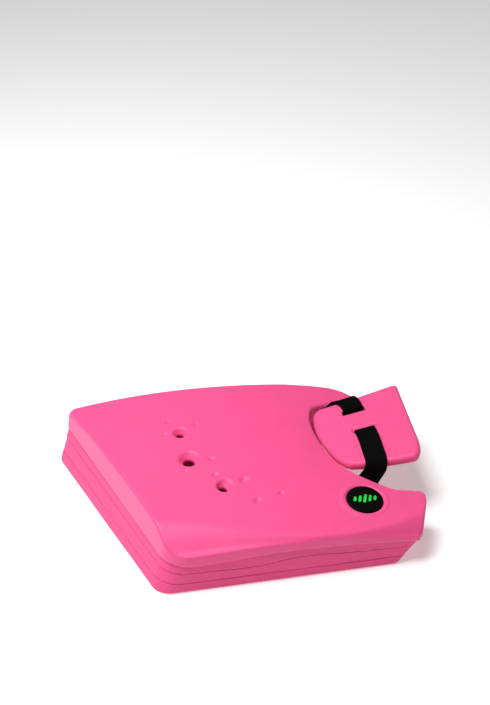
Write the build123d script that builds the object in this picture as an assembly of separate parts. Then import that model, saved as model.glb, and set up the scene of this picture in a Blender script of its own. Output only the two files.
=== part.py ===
from build123d import *
import math
import os

# Left-hand goalkeeper's hand protector for field hockey: a laminated foam block
# worn over the back of the hand, with a foam wrist guard on an elastic strap.
# It lies face up. +X runs from the fingers to the wrist, +Y towards the thumb
# side, +Z up. The origin is the bottom centre of the whole object. Millimetres.

# ---- overall block ----
NEAR_Y = -113.0             # long straight side
FAR_Y = 113.0               # thumb side
OVERHANG = 1.5              # face layer stands proud of the layers below
FINGER_SLANT = 18.8         # degrees the finger end leans from square
FINGER_BACK = 132.3         # distance of the back layers' finger end from the origin at z = 0
FINGER_BACK_LEAN = -0.35    # change of that distance for each mm of height
FINGER_FACE = 126.0         # the face layer's own distance, carried down to z = 0
FINGER_FACE_LEAN = -0.13
NEAR_CORNER_R = 20.0
NEAR_CORNER_LOW_R = 13.0    # the same corner at the bottom
FAR_CORNER_R = 12.0         # at the bottom; the corner sharpens towards the face
FAR_CORNER_TOP_R = 4.0
FACE_CORNER_R = 8.0
WRIST_CORNER_R = 6.0
BACK_TOP = 48.0             # height that the back layers are drawn up to before the seams cut them
WRIST_X = 128.5             # wrist end of the back layers at z = 0, on the near side
WRIST_FAR_X = 114.0         # and on the far side
WRIST_LEAN = 0.7            # outward run of that end for each mm of height

# ---- seams between the layers, (x, z) along the near side ----
LOWER_SEAM = [(-190, 10.5), (-60, 11.0), (60, 10.2), (190, 9.6)]
MIDDLE_SEAM = [(-190, 23.5), (-60, 22.8), (-8, 21.2), (32, 26.0), (88, 22.6), (190, 21.0)]
FACE_SEAM = [(-190, 32.0), (-60, 32.2), (30, 35.5), (88, 32.5), (122, 29.5), (190, 23.0)]
LOWER_RISE = 0.5            # degrees that each seam climbs towards the far side
MIDDLE_RISE = 1.1
FACE_RISE = 2.2
SEAM_FLOOR = -30.0          # how low the slab under each seam reaches
SEAM_REACH = 150.0          # and how far to each side

# ---- hand cavity in the back ----
CAVITY_NEAR_Y = -74.0
CAVITY_FAR_Y = 76.0
CAVITY_FINGER = 96.0        # distance of its finger end from the origin
CAVITY_CORNER_R = 16.0
CAVITY_OVER = 5.0           # how far its cutter starts below the back
CAVITY_ROOF = 60.0          # and how tall it is; the face layer closes the top

# ---- domed face ----
CROWN_X = -47.0             # the crown is highest here
FAR_CROWN = 71.0            # its height along the far side
CROWN_FALL_FINGER = (10.0, 115.0)   # how far it falls, and over what length
CROWN_FALL_WRIST = (22.0, 188.0)
NEAR_LOW = 44.5             # height of the face at the near horn
NEAR_RISE = (14.0, 267.0, 1.7)      # the near side's climb to the fingers, its length and power
NEAR_HORN_X = 160.0
DOME_WIDTH = 198.0          # the dome climbs over this much of the width
DISH = (98.0, 20.0, 32.0, 45.0, 4.0)    # shallow dish by the recess: x, y, spread in x and y, depth
FACE_STATIONS = [-195, -150, -110, -70, -30, 10, 45, 75, 100, 130, 175]
FACE_ROWS = [-135, -110, -80, -45, -10, 25, 55, 85, 110, 135]
FACE_FLOOR = -20.0          # the solid under the face starts here
FACE_LOW, FACE_HIGH = 20.0, 80.0    # heights of the face layer's two drawn outlines

# ---- scoops along the near side: x, rim height, crest y, crest height ----
SCOOP_STATIONS = [
    (-135, 46.0, -70.0, 65.0),
    (-75, 43.5, -81.0, 60.5),
    (-23, 45.5, -92.0, 56.5),
    (25, 45.5, -105.0, 50.5),
    (72, 44.5, -111.0, 47.0),
    (109, 39.5, -107.0, 46.0),
    (135, 35.0, -101.0, 45.0),
    (180, 28.0, -84.0, 44.0),
]
SCOOP_SAG = 0.04            # how far the scoop hangs below a straight slope
SCOOP_OUTER = 14.0          # how far the cutter runs out past the near side
SCOOP_INNER = 9.0           # and in past the crest
SCOOP_RIM_SLOPE = 0.35      # its slope past the rim, as a share of the mean slope
SCOOP_CREST_STEEPER = 0.45  # how much steeper it is past the crest
CUTTER_TOP = 110.0
CUT_OUT = 20.0              # how far a pocket's cutter stands out of the face

# ---- wrist recess and horns, seen from above ----
NEAR_HORN_END = [(146, -113), (150, -107), (156, -92), (162, -77), (163.5, -68)]
NEAR_HORN_TIP = (158.0, -61.5)
RECESS_CURVE = [(136, -58.5), (117, -45.5), (95.5, -25), (84, -2), (78, 25), (77, 48), (83, 66)]
FAR_HORN_INNER = [(96, 73.5), (118, 77)]
FAR_HORN_TIP = [(133, 79), (137, 85), (130, 99)]
FAR_HORN_ROOT = (108.0, 113.0)

# ---- vents: x, y, mouth, throat, and the shallow dimples: x, y, diameter ----
VENTS = [(-57, 38, 15.5, 8.0), (-54, -2, 21.5, 11.0), (-26, -42, 17.0, 8.5)]
VENT_SHOULDER = 8.0         # depth of the funnel
VENT_LEDGE = 1.5            # flat ring left round the throat
DIMPLES = [
    (-66, 57, 6.5), (-39, 48, 6.5), (-72, 38, 5.5),
    (-33, -5, 6.0), (-60, -18, 5.0), (-33, -27, 6.0),
    (-7, -37, 8.5), (25, -57, 5.5), (1, -64, 7.0),
]
DIMPLE_DEPTH = 1.2

# ---- badge ----
BADGE_X, BADGE_Y = 102.6, -71.0
BADGE_LENGTH, BADGE_WIDTH = 34.8, 34.4
BADGE_THICK = 2.4
BADGE_PROUD = 0.8
BADGE_CLEAR = 0.4
BADGE_EDGE_R = 0.5
EMBLEM_BARS = [6.0, 8.5, 11.0, 8.5, 6.0]    # lengths of the slanted bars
EMBLEM_PITCH = 4.9
EMBLEM_LEAN = 70.0
EMBLEM_BAR_WIDTH = 2.6
EMBLEM_THICK = 0.6

# ---- wrist guard ----
GUARD_TILT = 11.0           # degrees it rises towards the wrist
GUARD_X, GUARD_Z = 83.0, 57.0   # its tongue edge, on the top surface
GUARD_THICK = 9.5
GUARD_TONGUE = [(7, 65.5), (1, 59), (-1, 46), (0, 27), (4.3, 6), (9, -11), (14, -23)]
GUARD_NEAR = [(14, -23), (29, -31.5), (48, -36.5), (72, -39.5)]
GUARD_CORNER = (83.5, -34.0)
GUARD_END = [(87.0, -20), (91.0, 71.5)]
GUARD_EDGE_R = 3.5
GUARD_CORNER_R = 4.0
GUARD_TONGUE_R = 5.0
SLOT_NEAR = (42.5, 15.5)    # slot centres along and across the guard
SLOT_FAR = (40.0, 50.0)
SLOT_LENGTH = 23.0
SLOT_WIDTH = 4.4

# ---- webbing and its fixings ----
NEAR_OVER_V = -33.0         # where the near strap leaves the guard's top
FAR_OVER_V = 70.6           # where the far strap turns over the guard's far edge
STRAP_WIDTH = 21.0
STRAP_THICK = 2.0
STRAP_BEND = 1.8            # inside bend radius of the webbing's centre line
STRAP_GAP = 0.2             # space between the strap and the guard's underside
STRAP_TURN = 1.5            # half the bend where the strap leaves a slot
STRAP_OVER = 1.8            # height of the strap's middle over the guard's top
SLOT_MEET = -0.6            # where the strap's middle run meets its two ends
# The ends of the wrist strap: (centre, direction across the webbing, direction of its face)
NEAR_STRAP_DROP = [
    ((122.0, -37.4, 64.0), (0.95, -0.3, 0), (-0.3, -0.95, 0.9)),
    ((120.4, -38.9, 60.0), (0.94, -0.35, 0), (-0.35, -0.94, 0)),
    ((114.6, -38.3, 48.0), (0.85, -0.53, 0), (-0.53, -0.85, 0)),
    ((113.6, -38.0, 31.0), (0.85, -0.53, 0), (-0.53, -0.85, 0)),
    ((114.0, -39.5, 27.5), (0.9, -0.44, 0), (-0.44, -0.9, 0.8)),
    ((114.8, -43.5, 26.0), (0.96, -0.28, 0), (0, -0.15, 1)),
    ((117.0, -69.0, 23.0), (1, 0, 0), (0, -0.1, 1)),
    ((117.0, -72.0, 22.0), (1, 0, 0), (0, -1, 1)),
    ((117.0, -73.0, 19.5), (1, 0, 0), (0, -1, 0)),
    ((117.0, -73.0, 7.0), (1, 0, 0), (0, -1, 0)),
]
FAR_STRAP_DROP = [
    ((109.0, 71.6, 48.0), (1, 0, -0.2), (0, 1, 0)),
    ((108.0, 72.0, 38.5), (1, 0, 0), (0, 1, 0)),
    ((106.0, 74.8, 32.0), (1, 0, 0), (0, 1, 0)),
    ((106.0, 75.0, 28.0), (1, 0, 0), (0, 1, 0)),
    ((106.0, 75.0, 7.0), (1, 0, 0), (0, 1, 0)),
]
PLATE_THICK = 1.6
PLATE_LENGTH = 26.0
PLATE_WIDTH = 11.0
PLATE_CORNER_R = 2.5
RIVET_SPACING = 14.0
RIVET_HEAD = 5.6
RIVET_HEAD_THICK = 1.4
RIVET_HEAD_R = 0.8
RIVET_SHANK = 3.0
RIVET_LENGTH = 12.0

# ---- palm side ----
PAD_THICK = 4.0
PAD_INSET = 2.0
PAD_WRIST_X = 70.0
STRAP_LEVEL = 9.0           # height of the palm straps' centre line
TAB_LEVEL = 4.4             # height of the folded-back hook tab's centre line
STRAP_TAIL = 24.0           # top of the strap tails on the cavity walls
FINGER_STRAP_X = -50.0
THUMB_LOOP_X = -10.0
THUMB_LOOP_REACH = 27.0
THUMB_LOOP_LEVELS = (5.0, 26.5)     # heights of its two long sides
THUMB_LOOP_TAILS = (22.0, 11.0)     # heights where its two tails end
TAIL_GAP = 0.1              # space between two stacked tails
HAND_STRAP_X = 32.0
RING_Y = 49.2               # middle of the ring the hand strap doubles back through
RING_WIRE = 2.2
RING_DEPTH = 11.6
RING_OUTER_R = 2.4
RING_INNER_R = 0.8
RING_WIRE_R = 0.7           # rounding of the wire's edges
RING_PLAY = 1.0             # space beside the webbing inside the ring
RING_TURN = 3.0             # how far past its bar a strap turns back
RING_STRAP_RETURN = 14.0
TAB_LENGTH = 58.0
TAB_CORNER_R = 6.0
TAB_GAP = 1.3               # room for the tab's hinge beside the folded strap
PLATE_LEVEL = 17.0          # height of the palm anchor plates
NEAR_PLATE_X = 117.0        # where the wrist straps end on the cavity walls
FAR_PLATE_X = 106.0
WRIST_PLATE_Z = 13.2

SLANT = math.radians(FINGER_SLANT)


def finger_x(distance, y):
    """x on the slanted finger end that lies this far from the origin."""
    return -(distance + math.sin(SLANT) * y) / math.cos(SLANT)


def face_height(x, y):
    """Height of the domed striking face."""
    fall, length = CROWN_FALL_FINGER if x < CROWN_X else CROWN_FALL_WRIST
    crown = FAR_CROWN - fall * ((x - CROWN_X) / length) ** 2
    rise, run, power = NEAR_RISE
    low = NEAR_LOW + rise * (max(0.0, NEAR_HORN_X - x) / run) ** power
    across = min(1.0, max(0.0, (y - NEAR_Y) / DOME_WIDTH))
    blend = 1.0 - (1.0 - across) ** 2
    dish_x, dish_y, spread_x, spread_y, depth = DISH
    dish = depth * math.exp(-((x - dish_x) / spread_x) ** 2 - ((y - dish_y) / spread_y) ** 2)
    return low + (crown - low) * blend - dish


def under_face():
    """Everything below the domed face."""
    sections = []
    for x in FACE_STATIONS:
        top = [(x, y, face_height(x, y)) for y in FACE_ROWS]
        under = [(x, FACE_ROWS[-1], FACE_FLOOR), (x, FACE_ROWS[0], FACE_FLOOR)]
        edges = Spline(*top) + Polyline(top[-1], *under, top[0])
        sections.append(Face(Wire(edges.edges())))
    return loft(sections)


def scoop_cutter():
    """The hollow removed along the near side, from its rim up to its crest."""
    sections = []
    for x, rim, crest_y, crest in SCOOP_STATIONS:
        middle_y = (NEAR_Y + crest_y) / 2
        middle_z = rim + (crest - rim) * (0.5 - SCOOP_SAG / 2)
        slope = (crest - rim) / (crest_y - NEAR_Y)
        outer_y, inner_y = NEAR_Y - SCOOP_OUTER, crest_y + SCOOP_INNER
        low = (x, outer_y, rim - SCOOP_OUTER * slope * SCOOP_RIM_SLOPE)
        high = (x, inner_y, crest + SCOOP_INNER * (slope + SCOOP_CREST_STEEPER))
        curve = Spline(low, (x, NEAR_Y, rim), (x, middle_y, middle_z), (x, crest_y, crest), high)
        roof = Polyline(high, (x, inner_y, CUTTER_TOP), (x, outer_y, CUTTER_TOP), low)
        sections.append(Face(Wire((curve + roof).edges())))
    return loft(sections)


def below_seam(seam, rise):
    """Everything under a gently waving seam that climbs towards +Y."""
    curve = Spline(*[(x, 0, z) for x, z in seam])
    first, last = seam[0], seam[-1]
    start, end = (last[0], 0, last[1]), (first[0], 0, first[1])
    skirt = Polyline(start, (last[0], 0, SEAM_FLOOR), (first[0], 0, SEAM_FLOOR), end)
    profile = Face(Wire((curve + skirt).edges()))
    slab = extrude(profile, amount=SEAM_REACH, dir=(0, 1, 0), both=True)
    lift = math.tan(math.radians(rise)) * -NEAR_Y
    return Pos(0, 0, lift) * Rot(rise, 0, 0) * slab


def back_outline(z, distance, near_corner_r, far_corner_r):
    """Outline of the back layers at one height."""
    near, far = NEAR_Y + OVERHANG, FAR_Y
    corners = [
        (finger_x(distance, near), near),
        (WRIST_X + WRIST_LEAN * z, near),
        (WRIST_FAR_X + WRIST_LEAN * z, far),
        (finger_x(distance, far), far),
    ]
    shape = make_face(Polyline(*corners, close=True))
    points = shape.vertices().sort_by(Axis.X)
    shape = fillet(points[0], far_corner_r)
    near_corner = shape.vertices().filter_by(lambda v: v.Y < near + 1).sort_by(Axis.X)[0]
    shape = fillet(near_corner, near_corner_r)
    wrist = shape.vertices().sort_by(Axis.X)[-2:]
    shape = fillet(wrist, WRIST_CORNER_R)
    return Pos(0, 0, z) * shape


def back_block():
    """The solid stack of back layers, before it is split and hollowed."""
    top_distance = FINGER_BACK + FINGER_BACK_LEAN * BACK_TOP
    low = back_outline(0, FINGER_BACK, NEAR_CORNER_LOW_R, FAR_CORNER_R)
    high = back_outline(BACK_TOP, top_distance, NEAR_CORNER_R, FAR_CORNER_TOP_R)
    return loft([low, high], ruled=True)


def cavity_outline(wrist_x):
    """The hand cavity seen from below, up to some x at the wrist."""
    corners = [
        (finger_x(CAVITY_FINGER, CAVITY_NEAR_Y), CAVITY_NEAR_Y),
        (wrist_x, CAVITY_NEAR_Y),
        (wrist_x, CAVITY_FAR_Y),
        (finger_x(CAVITY_FINGER, CAVITY_FAR_Y), CAVITY_FAR_Y),
    ]
    shape = make_face(Polyline(*corners, close=True))
    return fillet(shape.vertices().sort_by(Axis.X)[:2], CAVITY_CORNER_R)


def cavity():
    """The space for the hand, open at the wrist."""
    return extrude(Pos(0, 0, -CAVITY_OVER) * cavity_outline(2 * WRIST_X), amount=CAVITY_ROOF)


def face_outline(z, distance):
    """Outline of the face layer, with the wrist recess and both horns."""
    start = (finger_x(distance, NEAR_Y), NEAR_Y)
    end = (finger_x(distance, FAR_Y), FAR_Y)
    near = Polyline(start, NEAR_HORN_END[0])
    horn = Spline(*NEAR_HORN_END, NEAR_HORN_TIP)
    recess = Spline(NEAR_HORN_TIP, *RECESS_CURVE, *FAR_HORN_INNER, FAR_HORN_TIP[0])
    tip = Spline(*FAR_HORN_TIP, FAR_HORN_ROOT, tangents=[(1, 0.1), (-1, 0)])
    rest = Polyline(FAR_HORN_ROOT, end, start)
    shape = make_face(near + horn + recess + tip + rest)
    far_corner = shape.vertices().sort_by(Axis.X)[0]
    shape = fillet(far_corner, FACE_CORNER_R)
    near_corner = shape.vertices().filter_by(lambda v: v.Y < NEAR_Y + 1).sort_by(Axis.X)[0]
    shape = fillet(near_corner, NEAR_CORNER_R)
    return Pos(0, 0, z) * shape


def vent_cutters():
    """Tapered funnels with a narrower throat right through the face."""
    tools = []
    for x, y, mouth, throat in VENTS:
        top = face_height(x, y)
        taper = (mouth - throat) / 2 - VENT_LEDGE
        height = VENT_SHOULDER * 2
        funnel = Cone(mouth / 2 - taper, mouth / 2 + taper, height)
        tools.append(Pos(x, y, top) * funnel)
        tools.append(Pos(x, y, 0) * Cylinder(throat / 2, 2 * CUTTER_TOP))
    return tools


def dimple_cutters():
    """Shallow spherical dimples."""
    tools = []
    for x, y, size in DIMPLES:
        radius = (size ** 2 / 4 + DIMPLE_DEPTH ** 2) / (2 * DIMPLE_DEPTH)
        tools.append(Pos(x, y, face_height(x, y) + radius - DIMPLE_DEPTH) * Sphere(radius))
    return tools


def face_frame(x, y):
    """A location on the face with its Z along the surface normal."""
    slope_x = (face_height(x + 1, y) - face_height(x - 1, y)) / 2
    slope_y = (face_height(x, y + 1) - face_height(x, y - 1)) / 2
    plane = Plane(origin=(x, y, face_height(x, y)), x_dir=(1, 0, slope_x), z_dir=(-slope_x, -slope_y, 1))
    return plane.location


def face_layer(seam_cut):
    """Thick moulded foam that takes the ball."""
    lower = face_outline(FACE_LOW, FINGER_FACE + FINGER_FACE_LEAN * FACE_LOW)
    upper = face_outline(FACE_HIGH, FINGER_FACE + FINGER_FACE_LEAN * FACE_HIGH)
    envelope = loft([lower, upper], ruled=True)
    shape = envelope & under_face()
    shape -= scoop_cutter()
    shape -= seam_cut
    for tool in vent_cutters() + dimple_cutters():
        shape -= tool
    pocket = Ellipse(BADGE_LENGTH / 2 + BADGE_CLEAR, BADGE_WIDTH / 2 + BADGE_CLEAR)
    depth = BADGE_THICK - BADGE_PROUD
    return shape - face_frame(BADGE_X, BADGE_Y) * (Pos(0, 0, -depth) * extrude(pocket, amount=CUT_OUT))


def face_badge():
    """Oval badge plate and its plain raised emblem, laid on the sloping face."""
    frame = face_frame(BADGE_X, BADGE_Y)
    base = BADGE_PROUD - BADGE_THICK
    plate = extrude(Ellipse(BADGE_LENGTH / 2, BADGE_WIDTH / 2), amount=BADGE_THICK)
    plate = fillet(plate.edges().sort_by(Axis.Z)[-1], BADGE_EDGE_R)
    emblem = Sketch()
    for index, length in enumerate(EMBLEM_BARS):
        offset = (index - (len(EMBLEM_BARS) - 1) / 2) * EMBLEM_PITCH
        emblem += Pos(offset, 0) * Rot(0, 0, EMBLEM_LEAN) * SlotOverall(length, EMBLEM_BAR_WIDTH)
    bars = extrude(emblem, amount=EMBLEM_THICK)
    return frame * Pos(0, 0, base) * plate, frame * Pos(0, 0, BADGE_PROUD) * bars


def guard_plane():
    """The wrist guard's own frame: origin at its tongue, on its top surface."""
    tilt = math.radians(GUARD_TILT)
    run, rise = math.cos(tilt), math.sin(tilt)
    return Plane(origin=(GUARD_X, 0, GUARD_Z), x_dir=(run, 0, rise), z_dir=(-rise, 0, run))


def guard_outline():
    """The guard seen square on: a rounded tongue, and a squarer panel."""
    tongue = Spline(*GUARD_TONGUE)
    near = Spline(*GUARD_NEAR)
    corner = ThreePointArc(GUARD_NEAR[-1], GUARD_CORNER, GUARD_END[0])
    end = Line(*GUARD_END)
    far = Line(GUARD_END[1], GUARD_TONGUE[0])
    shape = make_face(tongue + near + corner + end + far)
    far_corner = shape.vertices().sort_by(Axis.X)[-1]
    shape = fillet(far_corner, GUARD_CORNER_R)
    corner_u, corner_v = GUARD_NEAR[0]
    by_distance = shape.vertices().sort_by(lambda p: math.hypot(p.X - corner_u, p.Y - corner_v))
    return fillet(by_distance[0], GUARD_TONGUE_R)


def wrist_guard():
    """Foam flap over the back of the wrist, with two slots for its strap."""
    shape = extrude(guard_outline(), amount=-GUARD_THICK)
    rims = shape.faces().sort_by(Axis.Z)
    shape = fillet(rims[0].edges() + rims[-1].edges(), GUARD_EDGE_R)
    for u, v in (SLOT_NEAR, SLOT_FAR):
        shape -= Pos(u, v, -GUARD_THICK / 2) * Box(SLOT_LENGTH, SLOT_WIDTH, 3 * GUARD_THICK)
    return guard_plane().location * shape


def ribbon(path, x, radius=STRAP_BEND):
    """Webbing along a path of (y, z) points, centred on one x."""
    line = FilletPolyline(*path, radius=radius)
    sketch = Plane.YZ * trace(line, line_width=STRAP_THICK)
    return Pos(x, 0, 0) * extrude(sketch, amount=STRAP_WIDTH / 2, dir=(1, 0, 0), both=True)


def webbing(stations):
    """Webbing through stations of (centre, width direction, face direction)."""
    sections = []
    for centre, along_width, face_up in stations:
        across = Vector(*along_width).normalized()
        normal = Vector(*face_up).normalized()
        plane = Plane(origin=centre, x_dir=across, z_dir=across.cross(normal))
        sections.append(plane * Rectangle(STRAP_WIDTH, STRAP_THICK))
    return loft(sections, ruled=True)


def on_guard(u, v, w, direction):
    """A webbing station given in the guard's own frame."""
    frame = guard_plane()
    face_up = frame.from_local_coords(Vector(0, *direction)) - frame.origin
    return frame.from_local_coords(Vector(u, v, w)), frame.x_dir, face_up


def guard_strap_run():
    """The strap's middle, under the guard and up through both slots."""
    under = -GUARD_THICK - STRAP_THICK / 2 - STRAP_GAP
    near_u, near_v = SLOT_NEAR
    far_u, far_v = SLOT_FAR
    stations = [
        on_guard(near_u, near_v, SLOT_MEET, (-1, 0)),
        on_guard(near_u, near_v, under + STRAP_TURN, (-1, 0)),
        on_guard(near_u, near_v + STRAP_TURN, under, (-1, -1)),
        on_guard(near_u, near_v + 2 * STRAP_TURN, under, (0, -1)),
        on_guard(far_u, far_v - 2 * STRAP_TURN, under, (0, -1)),
        on_guard(far_u, far_v - STRAP_TURN, under, (1, -1)),
        on_guard(far_u, far_v, under + STRAP_TURN, (1, 0)),
        on_guard(far_u, far_v, SLOT_MEET, (1, 0)),
    ]
    return webbing(stations)


def wrist_strap_near():
    """From the near slot, over the guard's edge, down beside the recess and under the near horn."""
    u, v = SLOT_NEAR
    stations = [
        on_guard(u, v, 0.0, (1, 0)),
        on_guard(u, v - 1.2, 1.6, (1, 1)),
        on_guard(u, v - 3.0, STRAP_OVER, (0, 1)),
        on_guard(u - 1.5, NEAR_OVER_V, STRAP_OVER, (0, 1)),
    ]
    return webbing(stations + NEAR_STRAP_DROP)


def wrist_strap_far():
    """From the far slot, over the guard's edge and down the cavity's far wall."""
    u, v = SLOT_FAR
    stations = [
        on_guard(u, v, 0.0, (-1, 0)),
        on_guard(u, v + 1.2, 1.6, (-1, 1)),
        on_guard(u, v + 3.0, STRAP_OVER, (0, 1)),
        on_guard(u - 2.0, FAR_OVER_V - 3.0, STRAP_OVER, (0, 1)),
        on_guard(u - 3.5, FAR_OVER_V - 0.6, 0.2, (1, 1)),
        on_guard(u - 5.5, FAR_OVER_V, -4.0, (1, 0)),
    ]
    return webbing(stations + FAR_STRAP_DROP)


def hand_pad(seam_cut):
    """Thin lined pad on the roof of the hand cavity."""
    band = seam_cut - Pos(0, 0, -PAD_THICK) * seam_cut
    inset = offset(cavity_outline(PAD_WRIST_X), -PAD_INSET)
    return extrude(inset, amount=CAVITY_ROOF) & band


def finger_strap():
    """Elastic across the fingers, with a tail up each cavity wall."""
    near = CAVITY_NEAR_Y + STRAP_THICK / 2
    far = CAVITY_FAR_Y - STRAP_THICK / 2
    path = [(near, STRAP_TAIL), (near, STRAP_LEVEL), (far, STRAP_LEVEL), (far, STRAP_TAIL)]
    return ribbon(path, FINGER_STRAP_X)


def thumb_loop():
    """Elastic loop for the thumb, both tails stacked on the far wall."""
    outer = CAVITY_FAR_Y - STRAP_THICK / 2
    inner = outer - STRAP_THICK - TAIL_GAP
    reach = CAVITY_FAR_Y - THUMB_LOOP_REACH
    low, high = THUMB_LOOP_LEVELS
    start, end = THUMB_LOOP_TAILS
    path = [(outer, start), (outer, low), (reach, low), (reach, high), (inner, high), (inner, end)]
    return ribbon(path, THUMB_LOOP_X)


def hand_strap():
    """Strap across the back of the palm, doubled round the ring's near bar."""
    near = CAVITY_NEAR_Y + STRAP_THICK / 2
    bar = RING_Y - RING_DEPTH / 2 + RING_WIRE / 2
    turn = bar + RING_TURN
    across = [(near, STRAP_TAIL), (near, STRAP_LEVEL), (turn, STRAP_LEVEL)]
    back = [(turn, TAB_LEVEL), (bar, TAB_LEVEL)]
    return ribbon(across + back, HAND_STRAP_X)


def hand_strap_tab():
    """Hook tab at the strap's free end, folded back under the strap."""
    start = RING_Y - RING_DEPTH / 2 + RING_WIRE / 2 - TAB_GAP
    plan = Rectangle(STRAP_WIDTH, TAB_LENGTH)
    plan = fillet(plan.vertices().sort_by(Axis.Y)[:2], TAB_CORNER_R)
    solid = extrude(plan, amount=STRAP_THICK / 2, both=True)
    return Pos(HAND_STRAP_X, start - TAB_LENGTH / 2, TAB_LEVEL) * solid


def strap_ring():
    """Flat rectangular ring that joins the hand strap's two parts."""
    inner_length = STRAP_WIDTH + 2 * RING_PLAY
    inner_depth = RING_DEPTH - 2 * RING_WIRE
    plan = RectangleRounded(inner_length + 2 * RING_WIRE, RING_DEPTH, RING_OUTER_R)
    plan -= RectangleRounded(inner_length, inner_depth, RING_INNER_R)
    solid = extrude(plan, amount=RING_WIRE / 2, both=True)
    solid = fillet(solid.edges().filter_by(Plane.XY), RING_WIRE_R)
    return Pos(HAND_STRAP_X, RING_Y, (STRAP_LEVEL + TAB_LEVEL) / 2) * solid


def ring_strap():
    """Short strap that ties the ring to the far wall."""
    far = CAVITY_FAR_Y - STRAP_THICK / 2
    turn = RING_Y + RING_DEPTH / 2 - RING_WIRE / 2 - RING_TURN
    across = [(far, STRAP_TAIL), (far, STRAP_LEVEL), (turn, STRAP_LEVEL)]
    back = [(turn, TAB_LEVEL), (turn + RING_STRAP_RETURN, TAB_LEVEL)]
    return ribbon(across + back, HAND_STRAP_X)


def fixing(x, wall_y, z, layers=1):
    """Anchor plate, its two rivets, and the holes they need, on one cavity wall."""
    inward = 1 if wall_y < 0 else -1
    face_y = wall_y + inward * (layers * STRAP_THICK + (layers - 1) * TAIL_GAP)
    plate = Pos(x, face_y + inward * PLATE_THICK / 2, z) * Box(PLATE_LENGTH, PLATE_THICK, PLATE_WIDTH)
    plate = fillet(plate.edges().filter_by(Axis.Y), PLATE_CORNER_R)
    rivets, holes = [], []
    head_y = face_y + inward * PLATE_THICK
    for side in (-1, 1):
        place = Pos(x + side * RIVET_SPACING / 2, head_y, z) * Rot(-90 * inward, 0, 0)
        head = Pos(0, 0, RIVET_HEAD_THICK / 2) * Cylinder(RIVET_HEAD / 2, RIVET_HEAD_THICK)
        head = fillet(head.edges().sort_by(Axis.Z)[-1], RIVET_HEAD_R)
        shank = Pos(0, 0, -RIVET_LENGTH / 2) * Cylinder(RIVET_SHANK / 2, RIVET_LENGTH)
        rivets.append(place * (head + shank))
        holes.append(place * shank)
    return plate, rivets, holes


def fixings(places):
    """Every plate, rivet and hole in a list of (x, wall y, z, layers)."""
    plates, rivets, holes = [], [], []
    for x, wall_y, z, layers in places:
        plate, pair, pair_holes = fixing(x, wall_y, z, layers)
        plates.append(plate)
        rivets += pair
        holes += pair_holes
    plates = [drill(plate, holes) for plate in plates]
    return plates, rivets, holes


def drill(shape, holes):
    """A shape with the rivet holes taken out."""
    for hole in holes:
        shape -= hole
    return shape


def group(shapes):
    """Separate solids kept together in one node."""
    return Compound(children=[solid for shape in shapes for solid in shape.solids()])


def build():
    """Every node of the object, by name."""
    palm_places = [
        (FINGER_STRAP_X, CAVITY_NEAR_Y, PLATE_LEVEL, 1),
        (FINGER_STRAP_X, CAVITY_FAR_Y, PLATE_LEVEL, 1),
        (HAND_STRAP_X, CAVITY_NEAR_Y, PLATE_LEVEL, 1),
        (HAND_STRAP_X, CAVITY_FAR_Y, PLATE_LEVEL, 1),
        (THUMB_LOOP_X, CAVITY_FAR_Y, PLATE_LEVEL, 2),
    ]
    wrist_places = [
        (NEAR_PLATE_X, CAVITY_NEAR_Y, WRIST_PLATE_Z, 1),
        (FAR_PLATE_X, CAVITY_FAR_Y, WRIST_PLATE_Z, 1),
    ]
    palm_plates, palm_rivets, palm_holes = fixings(palm_places)
    wrist_plates, wrist_rivets, wrist_holes = fixings(wrist_places)
    holes = palm_holes + wrist_holes
    block = drill(back_block() - cavity(), holes)
    lower_cut = below_seam(LOWER_SEAM, LOWER_RISE)
    middle_cut = below_seam(MIDDLE_SEAM, MIDDLE_RISE)
    face_cut = below_seam(FACE_SEAM, FACE_RISE)
    plate, emblem = face_badge()
    return {
        "face_layer": face_layer(face_cut),
        "core_layer": (block - middle_cut) & face_cut,
        "upper_back_layer": (block - lower_cut) & middle_cut,
        "lower_back_layer": block & lower_cut,
        "hand_pad": hand_pad(face_cut),
        "badge_plate": plate,
        "badge_emblem": group([emblem]),
        "finger_strap": drill(finger_strap(), palm_holes),
        "thumb_loop": drill(thumb_loop(), palm_holes),
        "hand_strap": drill(hand_strap(), palm_holes),
        "ring_strap": drill(ring_strap(), palm_holes),
        "strap_ring": strap_ring(),
        "hand_strap_tab": hand_strap_tab(),
        "palm_anchor_plates": group(palm_plates),
        "palm_rivets": group(palm_rivets),
        "wrist_anchor_plates": group(wrist_plates),
        "wrist_rivets": group(wrist_rivets),
        "wrist_guard": wrist_guard(),
        "guard_strap_run": guard_strap_run(),
        "wrist_strap_near": drill(wrist_strap_near(), wrist_holes),
        "wrist_strap_far": drill(wrist_strap_far(), wrist_holes),
    }


if __name__ == "__main__":
    os.makedirs("parts", exist_ok=True)
    for name, shape in build().items():
        export_step(shape, f"parts/{name}.step")
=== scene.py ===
"""A left-hand field hockey goalkeeper's hand protector: foam block, palm straps and wrist guard.

Shapes are worked out in millimetres in the CAD frame (+X to the wrist, +Y to the thumb, +Z up)
and built in metres. Moulded foam is a distance field turned into a mesh, so that its edges are
soft. Webbing is swept along its path.
"""
import math

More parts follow.
